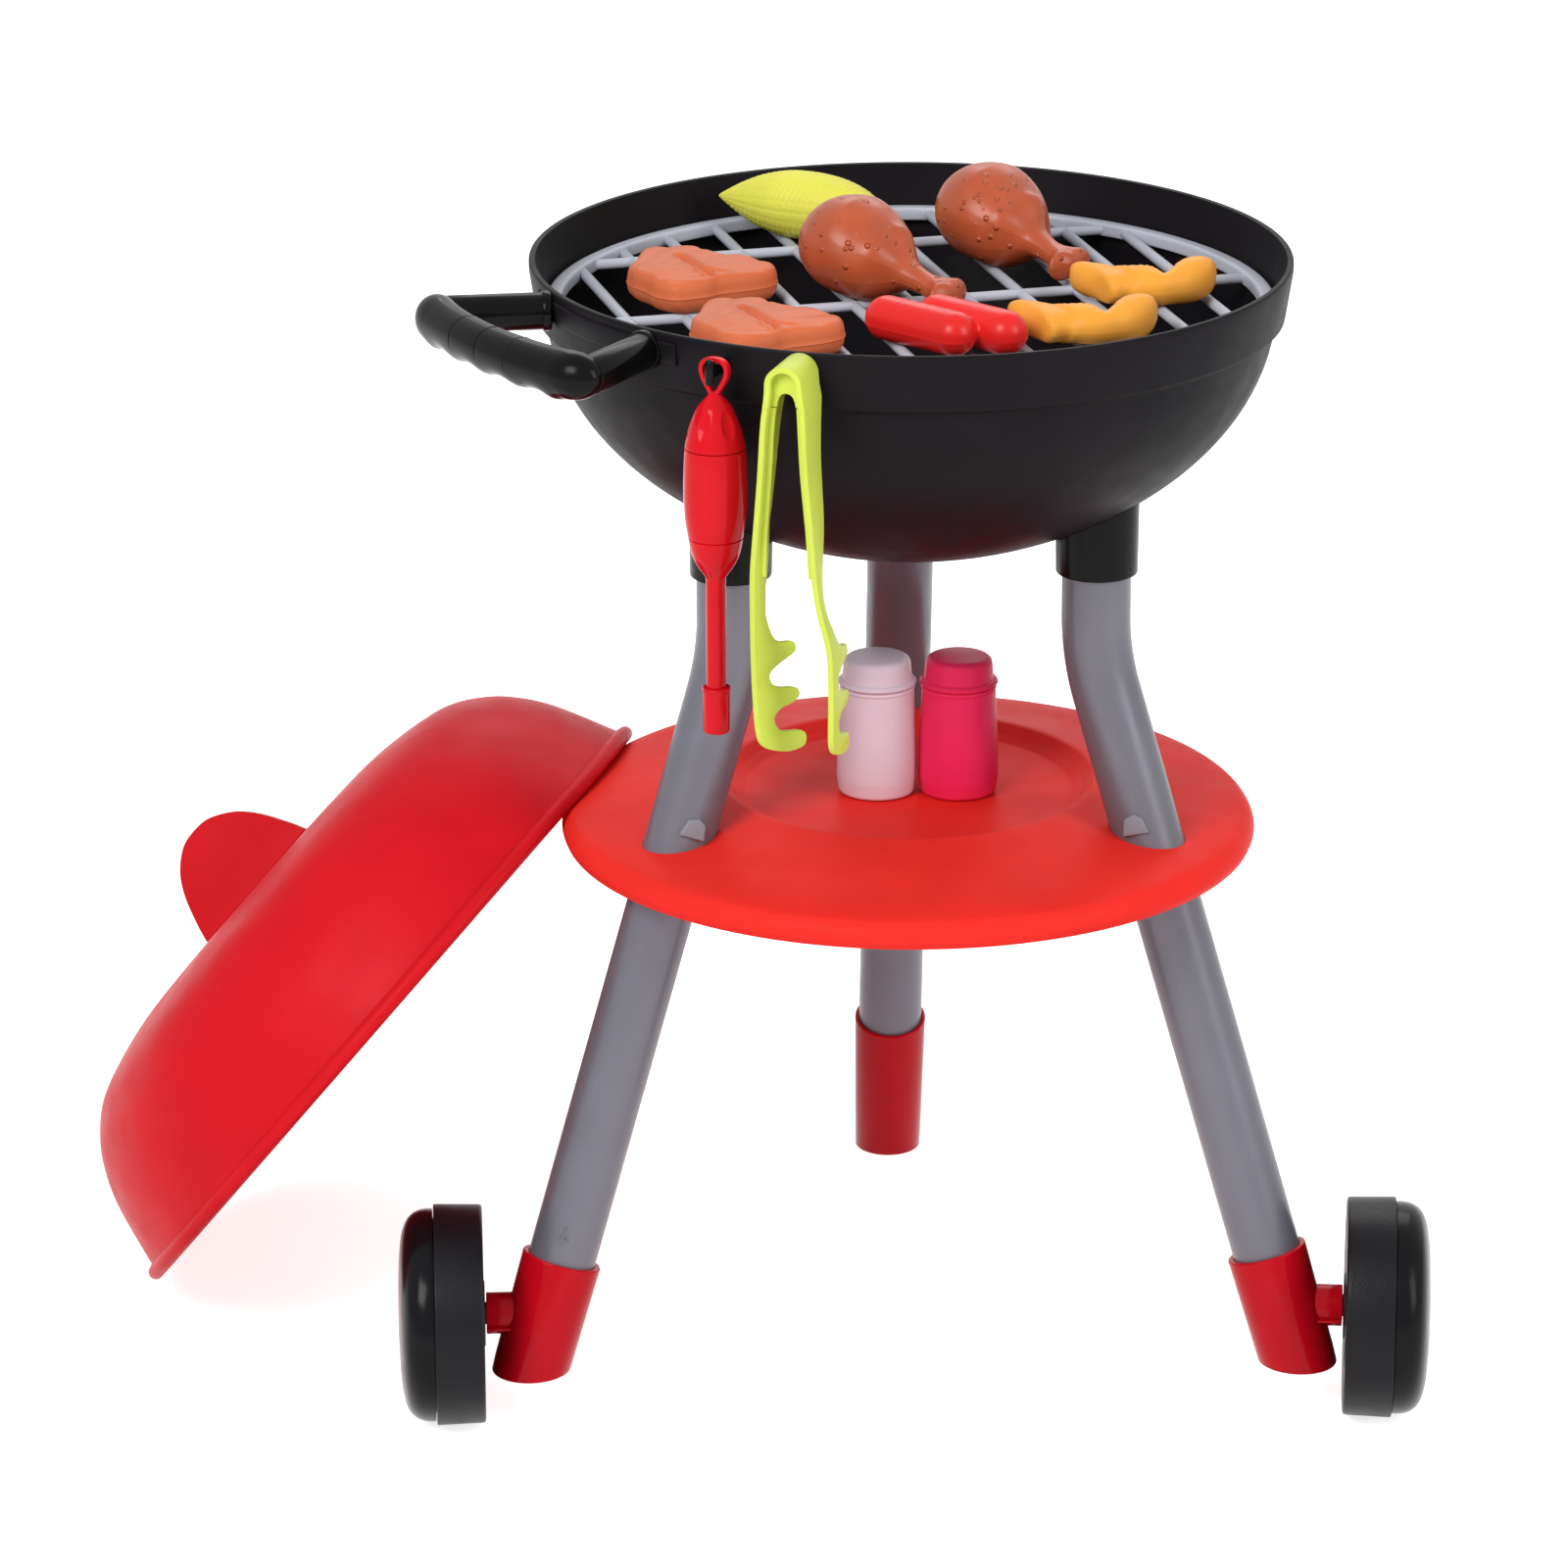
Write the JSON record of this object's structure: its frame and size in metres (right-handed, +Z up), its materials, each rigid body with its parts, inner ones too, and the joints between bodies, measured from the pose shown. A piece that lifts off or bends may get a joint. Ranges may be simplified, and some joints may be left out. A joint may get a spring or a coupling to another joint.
{
  "type": "toy barbecue grill",
  "caption": "Toy kettle barbecue on splayed legs with wheels, a shelf, a lift-off lid, a grate with pretend food, shakers, tongs and a baster.",
  "frame": {"origin": "centre of the bounding box's bottom face, on the floor that the feet, wheels and lid rest on", "axes": "+Z up; the wheels are towards -Y, the front; the handle and the leaning lid are towards -X"},
  "size_m": [0.5984, 0.418, 0.5265],
  "materials": {
    "bowl_black": "semi-matte black moulded plastic",
    "handle_black": "glossy black plastic",
    "socket_black": "glossy black plastic",
    "hook_black": "semi-matte black plastic",
    "leg_silver": "satin silver-grey plastic",
    "shelf_red": "satin orange-red plastic",
    "foot_red": "glossy deep red plastic",
    "screw_steel": "bright steel",
    "wheel_black": "satin black plastic",
    "hubcap_black": "glossy black plastic",
    "grate_grey": "satin light grey plastic",
    "lid_red": "satin red plastic",
    "corn_yellow": "satin yellow-green plastic",
    "drumstick_brown": "satin brown plastic",
    "steak_brown": "satin orange-brown plastic",
    "sausage_red": "satin red plastic",
    "wing_orange": "satin orange-yellow plastic",
    "shaker_white": "satin pale lilac plastic",
    "shaker_pink": "satin pink plastic",
    "tongs_lime": "satin lime plastic",
    "baster_red": "glossy deep red plastic"
  },
  "bodies": {
    "stand": {"bowl": "bowl_black", "handle": "handle_black", "hook_baster": "hook_black", "hook_tongs": "hook_black", "socket_front_left": "socket_black", "socket_front_right": "socket_black", "socket_rear": "socket_black", "socket_screw_front_left": "screw_steel", "socket_screw_front_right": "screw_steel", "socket_screw_rear": "screw_steel", "leg_front_left": "leg_silver", "leg_front_right": "leg_silver", "leg_rear": "leg_silver", "shelf": "shelf_red", "foot_front_left": "foot_red", "foot_front_right": "foot_red", "foot_rear": "foot_red", "axle_screw_left": "screw_steel", "axle_screw_right": "screw_steel"},
    "wheel_left": {"wheel_left": "wheel_black", "hubcap_left": "hubcap_black"},
    "wheel_right": {"wheel_right": "wheel_black", "hubcap_right": "hubcap_black"},
    "lid": {"lid": "lid_red", "lid_handle": "lid_red"},
    "grate": {"grate": "grate_grey"},
    "corn": {"corn": "corn_yellow"},
    "drumstick_1": {"drumstick_1": "drumstick_brown"},
    "drumstick_2": {"drumstick_2": "drumstick_brown"},
    "steak_1": {"steak_1": "steak_brown"},
    "steak_2": {"steak_2": "steak_brown"},
    "sausages": {"sausages": "sausage_red"},
    "wing_1": {"wing_1": "wing_orange"},
    "wing_2": {"wing_2": "wing_orange"},
    "shaker_white": {"shaker_white_body": "shaker_white", "shaker_white_cap": "shaker_white"},
    "shaker_pink": {"shaker_pink_body": "shaker_pink", "shaker_pink_cap": "shaker_pink"},
    "tongs": {"tongs_crown": "tongs_lime"},
    "tongs_arm_left": {"tongs_arm_left": "tongs_lime"},
    "tongs_arm_right": {"tongs_arm_right": "tongs_lime"},
    "baster": {"baster_top": "baster_red", "baster_barrel": "baster_red", "baster_nose": "baster_red", "baster_tip": "baster_red"}
  },
  "joints": [
    {"name": "wheel_left_spin", "type": "hinge", "parent": "stand", "child": "wheel_left", "pos_m": [-0.09265, -0.11829, 0.0486], "axis": [-0.9994, -0.0349, 0], "continuous": true},
    {"name": "wheel_right_spin", "type": "hinge", "parent": "stand", "child": "wheel_right", "pos_m": [0.23195, -0.11829, 0.0486], "axis": [0.9945, -0.1045, 0], "continuous": true},
    {"name": "lid_lift", "type": "slide", "parent": "stand", "child": "lid", "axis": [-0.748, 0.2141, 0.6282], "range_m": [0, 0.12]},
    {"name": "grate_lift", "type": "slide", "parent": "stand", "child": "grate", "axis": [0, 0, 1], "range_m": [0, 0.1]},
    {"name": "corn_lift", "type": "slide", "parent": "grate", "child": "corn", "axis": [0, 0, 1], "range_m": [0, 0.08]},
    {"name": "drumstick_1_lift", "type": "slide", "parent": "grate", "child": "drumstick_1", "axis": [0, 0, 1], "range_m": [0, 0.08]},
    {"name": "drumstick_2_lift", "type": "slide", "parent": "grate", "child": "drumstick_2", "axis": [0, 0, 1], "range_m": [0, 0.08]},
    {"name": "steak_1_lift", "type": "slide", "parent": "grate", "child": "steak_1", "axis": [0, 0, 1], "range_m": [0, 0.08]},
    {"name": "steak_2_lift", "type": "slide", "parent": "grate", "child": "steak_2", "axis": [0, 0, 1], "range_m": [0, 0.08]},
    {"name": "sausages_lift", "type": "slide", "parent": "grate", "child": "sausages", "axis": [0, 0, 1], "range_m": [0, 0.08]},
    {"name": "wing_1_lift", "type": "slide", "parent": "grate", "child": "wing_1", "axis": [0, 0, 1], "range_m": [0, 0.08]},
    {"name": "wing_2_lift", "type": "slide", "parent": "grate", "child": "wing_2", "axis": [0, 0, 1], "range_m": [0, 0.08]},
    {"name": "shaker_white_lift", "type": "slide", "parent": "stand", "child": "shaker_white", "axis": [0, 0, 1], "range_m": [0, 0.045]},
    {"name": "shaker_pink_lift", "type": "slide", "parent": "stand", "child": "shaker_pink", "axis": [0, 0, 1], "range_m": [0, 0.045]},
    {"name": "tongs_lift", "type": "slide", "parent": "stand", "child": "tongs", "axis": [0, 0, 1], "range_m": [0, 0.03]},
    {"name": "tongs_squeeze_left", "type": "hinge", "parent": "tongs", "child": "tongs_arm_left", "pos_m": [0.00673, -0.18806, 0.48486], "axis": [-0.328, -0.9447, 0], "range_deg": [0, 3], "stiffness_Nm_per_rad": 0.05},
    {"name": "tongs_squeeze_right", "type": "hinge", "parent": "tongs", "child": "tongs_arm_right", "pos_m": [0.02146, -0.19318, 0.48524], "axis": [0.328, 0.9447, 0], "range_deg": [0, 3], "stiffness_Nm_per_rad": 0.05},
    {"name": "baster_swing", "type": "hinge", "parent": "stand", "child": "baster", "pos_m": [-0.01707, -0.17335, 0.49285], "axis": [-0.497, -0.8678, 0], "range_deg": [-15, 1]}
  ],
  "couplings": [
    {"joint": "tongs_squeeze_right", "follows": "tongs_squeeze_left", "ratio": 1}
  ]
}
